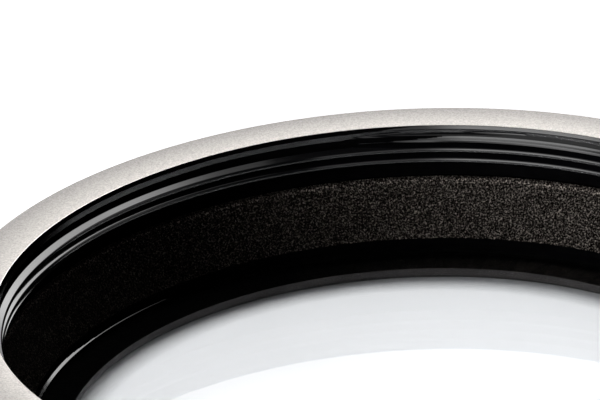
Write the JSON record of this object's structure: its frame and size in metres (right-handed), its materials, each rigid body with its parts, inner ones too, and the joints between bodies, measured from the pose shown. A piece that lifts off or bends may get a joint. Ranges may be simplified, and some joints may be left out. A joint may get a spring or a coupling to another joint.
{
  "type": "diffusion filter",
  "caption": "Screw-in diffusion filter: a silver and black turned ring with front and rear threads, a granular black baffle cone and a round diffusion glass.",
  "frame": {"origin": "on the optical axis, in the plane of the rear end of the male thread", "axes": "+Z along the optical axis, from the rear male thread to the front face with the female thread; X and Y are equal by symmetry"},
  "size_m": [0.059, 0.059, 0.011],
  "materials": {
    "frame_metal": "blasted and clear anodised outside, anodised black inside, with a granular black cone",
    "filter_glass": "clear with a faint diffusing mist",
    "ring_metal": "anodised black, satin"
  },
  "bodies": {
    "root": {"frame_ring": "frame_metal", "diffusion_glass": "filter_glass", "retaining_ring": "ring_metal"}
  },
  "joints": []
}
